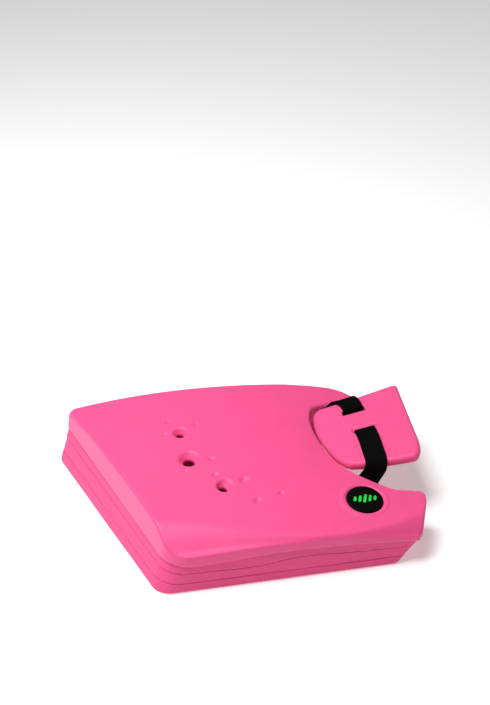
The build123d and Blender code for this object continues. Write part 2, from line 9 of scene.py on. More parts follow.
import bpy
import numpy as np
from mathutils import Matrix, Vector


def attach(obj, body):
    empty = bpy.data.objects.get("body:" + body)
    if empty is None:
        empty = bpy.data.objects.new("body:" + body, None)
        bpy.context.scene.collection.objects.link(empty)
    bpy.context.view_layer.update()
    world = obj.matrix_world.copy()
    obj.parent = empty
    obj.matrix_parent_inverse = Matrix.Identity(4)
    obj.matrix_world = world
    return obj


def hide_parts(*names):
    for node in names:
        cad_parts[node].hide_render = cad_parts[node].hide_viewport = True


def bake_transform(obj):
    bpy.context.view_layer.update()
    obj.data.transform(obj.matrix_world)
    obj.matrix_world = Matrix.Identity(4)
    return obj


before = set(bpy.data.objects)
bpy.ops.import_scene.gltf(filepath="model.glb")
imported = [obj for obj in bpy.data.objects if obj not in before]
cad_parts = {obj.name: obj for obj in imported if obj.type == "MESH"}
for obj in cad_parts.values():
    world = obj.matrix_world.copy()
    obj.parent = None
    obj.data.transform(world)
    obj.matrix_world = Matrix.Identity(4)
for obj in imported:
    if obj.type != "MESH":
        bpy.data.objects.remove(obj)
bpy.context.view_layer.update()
MM = 0.001

# ---- camera, at the height and side that the object is looked at from ----
CAMERA_PLACE = (-0.1861, -0.9735, 0.8517)
CAMERA_TURN = (math.radians(56.0), 0.0, math.radians(-10.876))
CAMERA_LENS = 66.4
SENSOR = 36.0

# ---- block ----
NEAR_Y, FAR_Y = -113.0, 113.0
OVERHANG = 1.6
SLANT = math.radians(18.8)
FINGER_BACK, FINGER_BACK_LEAN = 132.3, -0.35
FINGER_FACE, FINGER_FACE_LEAN = 126.0, -0.13
NEAR_CORNER_R = 20.0
FACE_CORNER_R = 8.0
BACK_NEAR_R, BACK_NEAR_LEAN = 13.0, 0.2     # corner radii of the back layers, and their change with height
BACK_FAR_R, BACK_FAR_LEAN = 12.0, -0.2
WRIST_X, WRIST_FAR_X, WRIST_LEAN = 128.5, 114.0, 0.7
WRIST_CORNER_R = 6.0
WAVE = 0.18                                 # unevenness of the cut sides
LOWER_SEAM = [(-190, 10.5), (-60, 11.0), (60, 10.2), (190, 9.6)]
MIDDLE_SEAM = [(-190, 23.5), (-60, 22.8), (-8, 21.2), (32, 26.0), (88, 22.6), (190, 21.0)]
FACE_SEAM = [(-190, 32.0), (-60, 32.2), (30, 35.5), (88, 32.5), (122, 29.5), (190, 23.0)]
LOWER_RISE, MIDDLE_RISE, FACE_RISE = (math.tan(math.radians(a)) for a in (0.5, 1.1, 2.2))
CAVITY_NEAR_Y, CAVITY_FAR_Y = -74.0, 76.0
CAVITY_FINGER, CAVITY_CORNER_R = 96.0, 16.0
CAVITY_RIM_R = 1.5

# ---- domed face ----
CROWN_X, FAR_CROWN = -47.0, 71.0
CROWN_FALL_FINGER = (10.0, 115.0)           # how far the crown falls, and over what length
CROWN_FALL_WRIST = (22.0, 188.0)
NEAR_LOW, NEAR_HORN_X = 44.5, 160.0
NEAR_RISE, NEAR_RUN, NEAR_POWER = 14.0, 267.0, 1.7
DOME_WIDTH = 198.0
DISH_AT, DISH_SPREAD, DISH_DEPTH = (98.0, 20.0), (32.0, 45.0), 4.0
TOP_EDGE_R, FAR_EDGE_R = 2.2, 7.0
UNDER_R = 0.9
HORN_R, FAR_HORN_R = 2.0, 16.0
DOME_TILT, SCOOP_TILT, WRIST_TILT = 1.04, 1.25, 1.22    # height above a slope over distance from it

# ---- hollow along the near side: x, rim height, crest y, crest height ----
SCOOP = [
    (-135, 46.0, -70.0, 65.0), (-75, 43.5, -81.0, 60.5), (-23, 45.5, -92.0, 56.5),
    (25, 45.5, -105.0, 50.5), (72, 44.5, -111.0, 47.0), (109, 39.5, -107.0, 46.0),
    (135, 35.0, -101.0, 45.0), (180, 28.0, -84.0, 44.0),
]
SCOOP_LEAST = 3.0                           # its least width
SCOOP_LEDGE = 0.18                          # share of its width that is the flat rim
SCOOP_SOFT = 0.006                          # softness of the step up from the rim
SCOOP_BEND = 0.42                           # how much steeper it is low down
SCOOP_BEYOND = 1.1                          # slope past the crest
CREST_R = 1.2

# ---- wrist end and horns, seen from above ----
AWAY = 300.0                                # well outside the block
BEYOND_Y = 140.0
HORN_END = [
    (146, -BEYOND_Y), (146, -113), (150, -107), (156, -92), (162, -77), (163.8, -67.5), (161, -62),
]
RECESS = [
    (136, -58.5), (117, -45.5), (95.5, -25), (84, -2), (78, 25), (77, 48), (83, 66), (96, 73.5), (118, 77),
]
FAR_HORN = [
    (133, 79), (136.5, 85), (131, 97), (115, 108.5), (94, 115.5), (72, 122), (50, BEYOND_Y),
]

# ---- vents: x, y, mouth, throat, shift of the throat; and dimples: x, y, diameter ----
VENTS = [(-57, 38, 15.5, 8.0, 0.0), (-54, -2, 21.5, 11.5, -0.5), (-26, -42, 17.0, 8.5, -2.5)]
VENT_SHOULDER = 5.2                         # depth of the funnel
VENT_TILT = 0.8
VENT_RIM_R, THROAT_R = 1.3, 0.5
CHAMBER_DEPTH, CHAMBER_SPREAD = 17.0, 6.0   # wider space under each throat
CHAMBER_HALF, CHAMBER_R = 8.5, 3.0
DIMPLES = [
    (-66, 57, 6.5), (-39, 48, 6.5), (-72, 38, 5.5), (-33, -5, 6.0), (-60, -18, 5.0),
    (-33, -27, 6.0), (-7, -37, 8.5), (25, -57, 5.5), (1, -64, 7.0),
]
DIMPLE_DEPTH = 0.26                         # as a share of the diameter

# ---- badge pocket ----
BADGE = (102.6, -71.0)
BADGE_HALF = (17.4, 17.2)
BADGE_GAP = 1.03                            # pocket over badge
BADGE_SUNK = 1.8
POCKET_R, POCKET_RIM_R = 0.4, 0.9
LIP_HEIGHT, LIP_AT, LIP_SPREAD = 0.7, 3.2, 1.6      # raised ring round the pocket

# ---- wrist guard, in its own frame: along, across, and up from its top surface ----
GUARD_TILT = math.radians(11.0)
GUARD_ORIGIN = np.array([83.0, 0.0, 57.0])
GUARD_THICK = 9.5
GUARD_TOP_R, GUARD_UNDER_R = 4.0, 3.0
GUARD_TONGUE = [(7, 66.0), (0.5, 59.5), (-2.8, 46), (-3.2, 27), (0.1, 6), (4.6, -11), (11.2, -24)]
GUARD_NEAR = [(16, -29), (28, -33.0), (48, -37.5), (72, -41.5), (80, -40.5), (85.5, -32), (88.0, -20)]
GUARD_FAR = [(91.5, 55), (92.4, 70), (90.8, 72.6), (86, 73), (50, 69.5)]
SLOTS = [(42.5, 15.5), (40.0, 50.0)]
SLOT_HALF = (11.5, 2.2)
SLOT_CORNER_R, SLOT_RIM_R = 1.2, 0.7
RAMP_WIDER, RAMP_DEPTH, RAMP_R = 0.6, 3.4, 0.6      # the sloping cut beside each slot
RAMP_FALL, RAMP_RUN = 0.6, 0.55
CREASE = [(-34, 27.5), (-13, 29.7), (9, 29.4), (26, 27.2), (41, 24.1), (56, 20.7), (66, 18.0)]
CREASE_STEPS = [(0.0, 0.34), (-2.2, 0.2), (-4.6, 0.3), (-7.4, 0.16)]    # (shift along, depth)

# ---- webbing ----
STRAP_WIDTH, STRAP_THICK = 21.0, 2.0
STRAP_STEP = 1.0                            # length of a mesh face along a strap
STRAP_BEND = 1.8
STRAP_LEVEL, TAB_LEVEL, STRAP_TAIL = 9.0, 4.4, 24
FINGER_STRAP_X, THUMB_LOOP_X, HAND_STRAP_X = -50.0, -10.0, 32.0
RING_NEAR_BAR, RING_FAR_BAR, RING_TURN = 44.5, 53.9, 3
TAB_Y = (-14.8, 43.2)

# ---- lined pad ----
PAD_WRIST_X, PAD_INSET, PAD_CORNER_R = 68.0, 2.0, 6.0
PAD_THICK, PAD_SWELL, PAD_SLOPE = 1.6, 2.6, 7.0
CHANNEL_PITCH, CHANNEL_LEAN, CHANNEL_WIDTH, CHANNEL_DEPTH = 34, 0.34, 2.2, 0.55

FLOOR_HALF, FLOOR_DROP = 6.0, 0.0003


# ---------------------------------------------------------------- fields
def round_max(a, b, radius):
    """Where both fields are negative, with the edge between them rounded."""
    corner = np.sqrt(np.maximum(a + radius, 0) ** 2 + np.maximum(b + radius, 0) ** 2)
    return np.minimum(np.maximum(a, b), -radius) + corner


def carve(a, b, radius):
    """Field a with b taken out of it, and a rounded rim."""
    return round_max(a, -b, radius)


def curve_value(points, x):
    """A smooth curve through (x, value) points, at any x."""
    px = np.array([p[0] for p in points], float)
    pv = np.array([p[1] for p in points], float)
    slope = np.gradient(pv, px)
    i = np.clip(np.searchsorted(px, x) - 1, 0, len(px) - 2)
    span = px[i + 1] - px[i]
    t = np.clip((x - px[i]) / span, 0, 1)
    start = pv[i] * (1 + 2 * t) * (1 - t) ** 2 + slope[i] * span * t * (1 - t) ** 2
    return start + pv[i + 1] * t * t * (3 - 2 * t) + slope[i + 1] * span * t * t * (t - 1)


def smooth_outline(points, steps=10):
    """Points along an open Catmull-Rom curve."""
    p = np.array(points, float)
    p = np.vstack([2 * p[:1] - p[1:2], p, 2 * p[-1:] - p[-2:-1]])
    out = []
    for a, b, c, d in zip(p[:-3], p[1:-2], p[2:-1], p[3:]):
        square = 2 * a - 5 * b + 4 * c - d
        cube = 3 * b - a - 3 * c + d
        for t in np.linspace(0, 1, steps, endpoint=False):
            out.append(0.5 * (2 * b + (c - a) * t + square * t ** 2 + cube * t ** 3))
    return np.array(out + [p[-2]])


class Outline:
    """Signed distance to a closed flat outline, kept on a fine grid."""

    def __init__(self, points, low, high, cell=1.0):
        """Samples the distance to the outline on a grid."""
        self.low, self.cell = np.array(low, float), cell
        count = np.ceil((np.array(high) - self.low) / cell).astype(int) + 2
        x = self.low[0] + cell * np.arange(count[0])[:, None]
        y = self.low[1] + cell * np.arange(count[1])[None, :]
        best = np.full((count[0], count[1]), 1e9)
        inside = np.zeros(best.shape, bool)
        for (ax, ay), (bx, by) in zip(points, np.roll(points, -1, 0)):
            dx, dy = bx - ax, by - ay
            t = np.clip(((x - ax) * dx + (y - ay) * dy) / max(dx * dx + dy * dy, 1e-9), 0, 1)
            best = np.minimum(best, (x - ax - t * dx) ** 2 + (y - ay - t * dy) ** 2)
            if dy:
                inside ^= ((ay > y) != (by > y)) & (x < ax + (y - ay) * dx / dy)
        self.grid = np.where(inside, -1, 1) * np.sqrt(best)

    def __call__(self, x, y):
        """Distance at any place, negative inside."""
        u = np.clip((x - self.low[0]) / self.cell, 0, self.grid.shape[0] - 1.001)
        v = np.clip((y - self.low[1]) / self.cell, 0, self.grid.shape[1] - 1.001)
        i, j = u.astype(int), v.astype(int)
        s, t = u - i, v - j
        g = self.grid
        near = g[i, j] * (1 - s) + g[i + 1, j] * s
        far = g[i, j + 1] * (1 - s) + g[i + 1, j + 1] * s
        return near * (1 - t) + far * t


def face_height(x, y):
    """Height of the domed face."""
    falls = [fall * ((x - CROWN_X) / run) ** 2 for fall, run in (CROWN_FALL_FINGER, CROWN_FALL_WRIST)]
    fall = np.where(x < CROWN_X, *falls)
    low = NEAR_LOW + NEAR_RISE * (np.maximum(0.0, NEAR_HORN_X - x) / NEAR_RUN) ** NEAR_POWER
    blend = 1.0 - (1.0 - np.clip((y - NEAR_Y) / DOME_WIDTH, 0, 1)) ** 2
    dish_x = (x - DISH_AT[0]) / DISH_SPREAD[0]
    dish_y = (y - DISH_AT[1]) / DISH_SPREAD[1]
    dish = DISH_DEPTH * np.exp(-dish_x ** 2 - dish_y ** 2)
    return low + (FAR_CROWN - fall - low) * blend - dish


def seam_height(seam, rise, x, y):
    """Height of a seam between two layers."""
    return curve_value(seam, x) + rise * (y - NEAR_Y)


def lower_seam(x, y):
    """Seam between the two back layers."""
    return seam_height(LOWER_SEAM, LOWER_RISE, x, y)


def middle_seam(x, y):
    """Seam under the core layer."""
    return seam_height(MIDDLE_SEAM, MIDDLE_RISE, x, y)


def face_seam(x, y):
    """Seam under the face layer."""
    return seam_height(FACE_SEAM, FACE_RISE, x, y)


def ground(x, y):
    """The flat back of the block."""
    return 0 * (x + y)


def finger_side(x, y, z, distance, lean):
    """Distance outside the slanted finger end."""
    return -math.cos(SLANT) * x - math.sin(SLANT) * y - (distance + lean * z)


def scoop_height(x, y):
    """Height of the hollow along the near side."""
    rim, crest_y, crest = (curve_value([(s[0], s[k]) for s in SCOOP], x) for k in (1, 2, 3))
    width = np.maximum(crest_y - NEAR_Y, SCOOP_LEAST)
    across = (y - NEAR_Y) / width
    inner = np.minimum(across, 1.0) - SCOOP_LEDGE
    rise = 0.5 * inner + 0.5 * np.sqrt(inner ** 2 + SCOOP_SOFT)
    full = 1.0 - SCOOP_LEDGE
    bend = rise / full * (1 + SCOOP_BEND - SCOOP_BEND * rise / full)
    bend = bend + SCOOP_BEYOND * np.maximum(across - 1.0, 0)
    return rim + (crest - rim) * bend


def vents(x, y, z):
    """The funnel-shaped vents and the small dimples."""
    out = None
    for cx, cy, mouth, throat, shift in VENTS:
        top = float(face_height(np.float64(cx), np.float64(cy)))
        depth = top - z
        sunk = np.clip(depth / VENT_SHOULDER, -0.5, 1.0)
        radius = np.sqrt((x - cx - shift * np.maximum(sunk, 0)) ** 2 + (y - cy) ** 2)
        funnel = (radius - mouth / 2 + (mouth - throat) / 2 * sunk) * VENT_TILT
        funnel = round_max(funnel, depth - VENT_SHOULDER - 1.0, THROAT_R)
        side = radius - throat / 2 - CHAMBER_SPREAD
        chamber = round_max(side, np.abs(depth - CHAMBER_DEPTH) - CHAMBER_HALF, CHAMBER_R)
        hole = np.minimum(np.minimum(funnel, radius - throat / 2 + 0 * z), chamber)
        out = hole if out is None else np.minimum(out, hole)
    for cx, cy, size in DIMPLES:
        top = float(face_height(np.float64(cx), np.float64(cy)))
        depth = DIMPLE_DEPTH * size
        radius = (size ** 2 / 4 + depth ** 2) / (2 * depth)
        ball = np.sqrt((x - cx) ** 2 + (y - cy) ** 2 + (z - top - radius + depth) ** 2) - radius
        out = np.minimum(out, ball)
    return out


WRIST_END = Outline(
    np.vstack([
        [(-AWAY, -BEYOND_Y)],
        smooth_outline(HORN_END),
        smooth_outline(RECESS),
        smooth_outline(FAR_HORN),
        [(-AWAY, BEYOND_Y)],
    ]),
    (-200, -130), (180, 130),
)


def face_field(x, y, z):
    """The thick face layer."""
    sides = round_max(NEAR_Y - y, finger_side(x, y, z, FINGER_FACE, FINGER_FACE_LEAN), NEAR_CORNER_R)
    sides = round_max(sides, y - FAR_Y, FACE_CORNER_R)
    horn_r = HORN_R + (FAR_HORN_R - HORN_R) * np.clip((y - 78) / 30, 0, 1)
    sides = round_max(sides, WRIST_END(x + 0 * y, y + 0 * x), horn_r)
    dome = (z - face_height(x, y)) / DOME_TILT
    scoop = (z - scoop_height(x, y)) / SCOOP_TILT
    top = round_max(dome, scoop, CREST_R)
    edge_r = TOP_EDGE_R + (FAR_EDGE_R - TOP_EDGE_R) * np.clip((y - 62.0) / 40.0, 0, 1)
    body = round_max(sides, top, edge_r)
    body = round_max(body, face_seam(x, y) - z, UNDER_R)
    body = carve(body, vents(x, y, z), VENT_RIM_R)
    bx, by = (x - BADGE[0]) / BADGE_HALF[0], (y - BADGE[1]) / BADGE_HALF[1]
    oval = (np.sqrt(bx ** 2 + by ** 2) - BADGE_GAP) * BADGE_HALF[1]
    pocket = round_max(oval, (face_height(x, y) - BADGE_SUNK) - z, POCKET_R)
    lip = LIP_HEIGHT * np.exp(-((oval - LIP_AT) / LIP_SPREAD) ** 2)
    on_top = z > 30
    return carve(body - lip * on_top, pocket, POCKET_RIM_R)


def cavity_field(x, y):
    """The hand cavity, open at the wrist."""
    finger = -math.cos(SLANT) * x - math.sin(SLANT) * y - CAVITY_FINGER
    shape = round_max(finger, CAVITY_NEAR_Y - y, CAVITY_CORNER_R)
    return round_max(shape, y - CAVITY_FAR_Y, CAVITY_CORNER_R)


def back_field(bottom, top, step_in, low_r, high_r):
    """One of the back layers, between two seams and a little in or out from its neighbours."""

    def field(x, y, z):
        """Distance to the layer, negative inside."""
        near = NEAR_Y + OVERHANG + step_in - y
        far = y - FAR_Y + step_in
        finger = finger_side(x, y, z, FINGER_BACK - step_in, FINGER_BACK_LEAN)
        sides = round_max(near, finger, BACK_NEAR_R + BACK_NEAR_LEAN * z)
        sides = round_max(sides, far, BACK_FAR_R + BACK_FAR_LEAN * z)
        wrist = WRIST_X + (WRIST_FAR_X - WRIST_X) * (y - NEAR_Y) / (FAR_Y - NEAR_Y) + WRIST_LEAN * z
        sides = round_max(sides, (x - wrist) / WRIST_TILT, WRIST_CORNER_R)
        sides = sides + WAVE * np.sin(x / 17.0 + z / 3.0) * np.cos(y / 23.0 + z / 5.0)
        sides = carve(sides, cavity_field(x, y), CAVITY_RIM_R)
        low = bottom(x, y) - z
        high = z - top(x, y)
        return round_max(round_max(sides, low, low_r), high, high_r)

    return field


def surface_mesh(field, low, high, step):
    """Vertices and quads of a field's surface, one vertex in each cell that it crosses."""
    step = np.ones(3) * step
    axes = [np.arange(a, b + s, s) for a, b, s in zip(low, high, step)]
    x, y, z = axes[0][:, None, None], axes[1][None, :, None], axes[2][None, None, :]
    value = field(x, y, z) + 0 * (x + y + z)
    inside = value < 0
    cells = tuple(n - 1 for n in value.shape)
    total = np.zeros(cells + (3,))
    count = np.zeros(cells)
    for axis in range(3):
        others = [a for a in range(3) if a != axis]
        for da in (0, 1):
            for db in (0, 1):
                start = [slice(0, -1)] * 3
                start[others[0]] = slice(da, da + cells[others[0]])
                start[others[1]] = slice(db, db + cells[others[1]])
                end = list(start)
                end[axis] = slice(1, None)
                a, b = value[tuple(start)], value[tuple(end)]
                cross = (a < 0) != (b < 0)
                part = np.where(cross, a / np.where(a == b, 1, a - b), 0)
                count += cross
                total[..., axis] += part
                total[..., others[0]] += cross * da
                total[..., others[1]] += cross * db
    used = count > 0
    index = np.full(cells, -1)
    index[used] = np.arange(used.sum())
    where = np.argwhere(used)
    points = np.array(low) + step * (where + total[used] / count[used][:, None])
    quads = []
    for axis in range(3):
        u, v = [a for a in range(3) if a != axis]
        first = [slice(1, -1)] * 3
        first[axis] = slice(0, -1)
        second = list(first)
        second[axis] = slice(1, None)
        a, b = inside[tuple(first)], inside[tuple(second)]
        for flip in (False, True):
            found = np.argwhere(a & ~b if not flip else b & ~a)
            found[:, u] += 1
            found[:, v] += 1
            corner = [found.copy() for _ in range(4)]
            corner[0][:, u] -= 1
            corner[0][:, v] -= 1
            corner[1][:, v] -= 1
            corner[3][:, u] -= 1
            ring = np.stack([index[tuple(c.T)] for c in corner], 1)
            if flip != (axis == 1):
                ring = ring[:, ::-1]
            quads.append(ring)
    quads = np.vstack(quads)
    return settle(field, points), quads[(quads >= 0).all(1)]


def settle(field, points, rounds=3, reach=0.6):
    """Moves points onto a field's surface."""
    h = 0.05
    for _ in range(rounds):
        x, y, z = points.T
        value = field(x, y, z)
        grad = np.stack([
            field(x + h, y, z) - field(x - h, y, z),
            field(x, y + h, z) - field(x, y - h, z),
            field(x, y, z + h) - field(x, y, z - h),
        ], 1) / (2 * h)
        size = np.maximum((grad ** 2).sum(1), 0.2)
        points = points - np.clip(value / size, -reach, reach)[:, None] * grad
    return points


def add_mesh(name, points, faces, material):
    """A smooth-shaded mesh object from points in millimetres."""
    mesh = bpy.data.meshes.new(name)
    mesh.vertices.add(len(points))
    mesh.vertices.foreach_set("co", (np.asarray(points, np.float32) * MM).ravel())
    faces = np.asarray(faces, np.int32)
    mesh.loops.add(faces.size)
    mesh.loops.foreach_set("vertex_index", faces.ravel())
    mesh.polygons.add(len(faces))
    mesh.polygons.foreach_set("loop_start", np.arange(0, faces.size, faces.shape[1], dtype=np.int32))
    mesh.update(calc_edges=True)
    mesh.validate()
    mesh.polygons.foreach_set("use_smooth", np.ones(len(mesh.polygons), bool))
    mesh.materials.append(material)
    piece = bpy.data.objects.new(name, mesh)
    bpy.context.scene.collection.objects.link(piece)
    return piece


# ---------------------------------------------------------------- materials
def new_material(name):
    """A Principled material with its node tree."""
    material = bpy.data.materials.new(name)
    material.use_nodes = True
    tree = material.node_tree
    return material, tree, tree.nodes["Principled BSDF"]


def node(tree, kind, **inputs):
    """A shader node with some of its inputs set."""
    made = tree.nodes.new(kind)
    for key, value in inputs.items():
        made.inputs[key.replace("_", " ")].default_value = value
    return made


def bump(tree, shader, height, strength, distance):
    """Bump from a height socket."""
    made = node(tree, "ShaderNodeBump", Strength=strength, Distance=distance)
    tree.links.new(height, made.inputs["Height"])
    tree.links.new(made.outputs["Normal"], shader.inputs["Normal"])


def colour_ramp(tree, factor, stops):
    """A colour ramp over a factor socket."""
    ramp = tree.nodes.new("ShaderNodeValToRGB")
    while len(ramp.color_ramp.elements) < len(stops):
        ramp.color_ramp.elements.new(0.5)
    for element, (place, colour) in zip(ramp.color_ramp.elements, stops):
        element.position = place
        element.color = (*colour, 1.0)
    tree.links.new(factor, ramp.inputs["Fac"])
    return ramp.outputs["Color"]


def foam(name, colour, roughness, grain):
    """Closed-cell foam: a fine skin texture, faint mottling and a soft sheen."""
    material, tree, shader = new_material(name)
    place = tree.nodes.new("ShaderNodeTexCoord").outputs["Object"]
    mottle = node(tree, "ShaderNodeTexNoise", Scale=38.0, Detail=3.0)
    cells = node(tree, "ShaderNodeTexNoise", Scale=1400.0, Detail=2.0)
    pores = node(tree, "ShaderNodeTexVoronoi", Scale=900.0)
    for texture in (mottle, cells, pores):
        tree.links.new(place, texture.inputs["Vector"])
    dark = tuple(c * 0.975 for c in colour)
    light = tuple(min(1.0, c * 1.02) for c in colour)
    colours = colour_ramp(tree, mottle.outputs["Fac"], [(0.3, dark), (0.7, light)])
    tree.links.new(colours, shader.inputs["Base Color"])
    mix = node(tree, "ShaderNodeMath")
    mix.operation = "ADD"
    tree.links.new(cells.outputs["Fac"], mix.inputs[0])
    tree.links.new(pores.outputs["Distance"], mix.inputs[1])
    bump(tree, shader, mix.outputs[0], grain, 0.0003)
    shader.inputs["Roughness"].default_value = roughness
    shader.inputs["Specular IOR Level"].default_value = 0.3
    shader.inputs["Sheen Weight"].default_value = 0.12
    shader.inputs["Sheen Roughness"].default_value = 0.5
    shader.inputs["Sheen Tint"].default_value = (1.0, 0.45, 0.8, 1)
    shader.inputs["Specular Tint"].default_value = (1.0, 0.75, 0.95, 1)
    return material


def woven(name, colour, warp, weft, depth):
    """Woven webbing, with ribs along it and across it, from its UV map in millimetres."""
    material, tree, shader = new_material(name)
    uv = tree.nodes.new("ShaderNodeUVMap")
    uv.uv_map = "weave"
    ribs = node(tree, "ShaderNodeTexWave", Scale=warp, Distortion=0.4, Detail=1.0)
    ribs.bands_direction = "X"
    picks = node(tree, "ShaderNodeTexWave", Scale=weft, Distortion=0.6, Detail=1.0)
    picks.bands_direction = "Y"
    fuzz = node(tree, "ShaderNodeTexNoise", Scale=1.8, Detail=3.0)
    for texture in (ribs, picks, fuzz):
        tree.links.new(uv.outputs["UV"], texture.inputs["Vector"])
    weave = node(tree, "ShaderNodeMath")
    weave.operation = "MULTIPLY"
    tree.links.new(ribs.outputs["Fac"], weave.inputs[0])
    tree.links.new(picks.outputs["Fac"], weave.inputs[1])
    total = node(tree, "ShaderNodeMath")
    total.operation = "MULTIPLY_ADD"
    tree.links.new(fuzz.outputs["Fac"], total.inputs[0])
    total.inputs[1].default_value = 0.35
    tree.links.new(weave.outputs[0], total.inputs[2])
    low = tuple(c * 0.55 for c in colour)
    colours = colour_ramp(tree, total.outputs[0], [(0.15, low), (0.9, colour)])
    tree.links.new(colours, shader.inputs["Base Color"])
    bump(tree, shader, total.outputs[0], depth, 0.0006)
    shader.inputs["Roughness"].default_value = 0.85
    shader.inputs["Specular IOR Level"].default_value = 0.05
    return material


def moulded(name, colour, roughness, grain, metallic=0.0, gloss=0.4):
    """Moulded plastic or metal with a fine grain."""
    material, tree, shader = new_material(name)
    place = tree.nodes.new("ShaderNodeTexCoord").outputs["Object"]
    fine = node(tree, "ShaderNodeTexNoise", Scale=900.0, Detail=4.0)
    broad = node(tree, "ShaderNodeTexNoise", Scale=60.0, Detail=2.0)
    for texture in (fine, broad):
        tree.links.new(place, texture.inputs["Vector"])
    low = tuple(c * 0.8 for c in colour)
    colours = colour_ramp(tree, broad.outputs["Fac"], [(0.3, low), (0.7, colour)])
    tree.links.new(colours, shader.inputs["Base Color"])
    bump(tree, shader, fine.outputs["Fac"], grain, 0.0002)
    shader.inputs["Roughness"].default_value = roughness
    shader.inputs["Metallic"].default_value = metallic
    shader.inputs["Specular IOR Level"].default_value = gloss
    return material


def knitted(name, colour):
    """Knitted lining cloth."""
    material, tree, shader = new_material(name)
    place = tree.nodes.new("ShaderNodeTexCoord").outputs["Object"]
    loops = node(tree, "ShaderNodeTexVoronoi", Scale=620.0, Randomness=0.25)
    shade = node(tree, "ShaderNodeTexNoise", Scale=45.0, Detail=3.0)
    for texture in (loops, shade):
        tree.links.new(place, texture.inputs["Vector"])
    low = tuple(c * 0.6 for c in colour)
    colours = colour_ramp(tree, shade.outputs["Fac"], [(0.3, low), (0.7, colour)])
    tree.links.new(colours, shader.inputs["Base Color"])
    bump(tree, shader, loops.outputs["Distance"], 0.8, 0.0006)
    shader.inputs["Roughness"].default_value = 0.92
    shader.inputs["Sheen Weight"].default_value = 0.25
    return material


FACE_FOAM = foam("face_foam", (0.78, 0.078, 0.235), 0.42, 0.12)
BACK_FOAM = foam("back_foam", (0.74, 0.068, 0.215), 0.6, 0.2)
GUARD_FOAM = foam("guard_foam", (0.78, 0.078, 0.232), 0.52, 0.12)
WEBBING = woven("elastic_webbing", (0.0022, 0.0022, 0.0026), 0.32, 0.2, 0.55)
HOOK_TAPE = woven("hook_tape", (0.012, 0.012, 0.013), 0.25, 0.25, 0.9)
LINING = knitted("lining", (0.03, 0.03, 0.034))
BADGE_BLACK = moulded("badge_plastic", (0.0022, 0.0022, 0.0026), 0.45, 0.1, gloss=0.06)
EMBLEM = moulded("emblem_green", (0.02, 0.62, 0.05), 0.4, 0.1)
BLACK_PLASTIC = moulded("black_plastic", (0.012, 0.012, 0.013), 0.45, 0.25)
RIVET_METAL = moulded("rivet_metal", (0.55, 0.55, 0.57), 0.3, 0.15, metallic=1.0)


# ---------------------------------------------------------------- foam pieces
def add_foam(name, field, low, high, step, material):
    """A foam piece of the block that stands for the CAD node of the same name."""
    pitch = np.array(step, float) * 1.0
    points, quads = surface_mesh(field, low, high, pitch)
    piece = add_mesh(name + "_foam", points, quads, material)
    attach(piece, "block")
    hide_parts(name)
    return piece


def guard_to_world(points):
    """From the guard's frame to the object's."""
    run, rise = math.cos(GUARD_TILT), math.sin(GUARD_TILT)
    u, v, w = np.asarray(points, float).T
    return GUARD_ORIGIN + np.stack([run * u - rise * w, v, rise * u + run * w], 1)


GUARD_EDGE = Outline(
    np.vstack([smooth_outline(GUARD_TONGUE), smooth_outline(GUARD_NEAR), np.array(GUARD_FAR, float)]),
    (-14, -52), (104, 86), 0.5,
)


def guard_field(u, v, w):
    """The wrist guard: a rounded flap with creases, and slots with a ramp beside each."""
    edge = GUARD_EDGE(u + 0 * v, v + 0 * u)
    body = round_max(edge, w, GUARD_TOP_R)
    body = round_max(body, -GUARD_THICK - w, GUARD_UNDER_R)
    crease = 0
    for shift, depth in CREASE_STEPS:
        off = u - curve_value(CREASE, v) - shift * (1 - 0.35 * np.clip((v - 20) / 46, 0, 1))
        crease = crease + depth * (np.exp(-(off / 0.55) ** 2) - 0.5 * np.exp(-((off - 1.1) / 0.6) ** 2))
    body = body + crease * np.clip((v + 36) / 12, 0, 1) * (w > -4)
    for side, (cu, cv) in zip((1, -1), SLOTS):
        beside = np.abs(u - cu) - SLOT_HALF[0]
        slot = round_max(beside, np.abs(v - cv) - SLOT_HALF[1], SLOT_CORNER_R)
        reach = side * (v - cv)
        slope = -RAMP_FALL * (w + RAMP_DEPTH) + RAMP_RUN * (reach - SLOT_HALF[1])
        ramp = round_max(beside - RAMP_WIDER, slope, RAMP_R)
        ramp = np.maximum(ramp, -reach)
        body = carve(body, np.minimum(slot, ramp), SLOT_RIM_R)
    return body


def build_foam():
    """Every moulded foam piece."""
    low, high = (-176, -116, 20), (168, 116, 76)
    add_foam("face_layer", face_field, low, high, (1.3, 1.3, 1.2), FACE_FOAM)
    layers = [
        ("core_layer", middle_seam, face_seam, (0.0, 0.4, 0.3), 19, 45),
        ("upper_back_layer", lower_seam, middle_seam, (0.3, 0.3, 0.3), 7, 34),
        ("lower_back_layer", ground, lower_seam, (0.1, 2.5, 0.3), -2, 16),
    ]
    for name, bottom, top, look, z_low, z_high in layers:
        field = back_field(bottom, top, *look)
        low, high = (-182, -116, z_low), (162, 116, z_high)
        add_foam(name, field, low, high, (1.8, 1.8, 0.8), BACK_FOAM)
    points, quads = surface_mesh(guard_field, (-4, -43, -12), (94, 75, 3), (0.8, 0.8, 0.8))
    guard = add_mesh("wrist_guard_foam", guard_to_world(points), quads, GUARD_FOAM)
    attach(guard, "wrist_guard")
    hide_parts("wrist_guard")


# ---------------------------------------------------------------- webbing
def unit(rows):
    """Rows scaled to length 1."""
    return rows / np.maximum(np.linalg.norm(rows, axis=1, keepdims=True), 1e-9)


